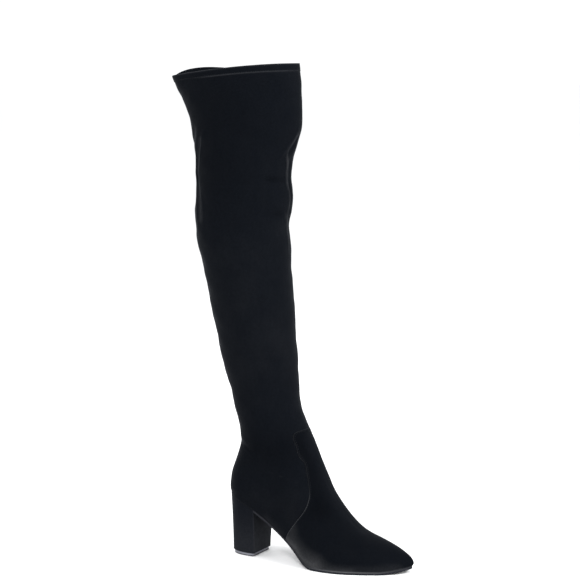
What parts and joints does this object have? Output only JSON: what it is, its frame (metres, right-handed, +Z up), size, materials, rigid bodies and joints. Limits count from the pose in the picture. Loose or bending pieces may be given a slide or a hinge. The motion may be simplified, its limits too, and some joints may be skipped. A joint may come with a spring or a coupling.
{
  "type": "thigh high boot",
  "caption": "Right-foot thigh-high stretch velvet boot with a pointed toe, a covered block heel and a flared folded collar.",
  "frame": {"origin": "on the floor, at the centre of the heel lift's flat tread", "axes": "+X towards the toe, +Y towards the inner side of the right foot, +Z up"},
  "size_m": [0.3432, 0.105, 0.635],
  "materials": {
    "upper_velvet": "short black stretch velvet nap with a soft sheen at the edges",
    "heel_cover": "the same black velvet stretched over a block heel",
    "heel_lift": "dark grey satin rubber",
    "outsole": "black satin rubber, glossier along its edge",
    "insole": "dark grey cloth sock"
  },
  "bodies": {
    "root": {"upper": "upper_velvet", "vamp": "upper_velvet", "heel": "heel_cover", "heel_lift": "heel_lift", "outsole": "outsole", "insole": "insole"}
  },
  "joints": []
}
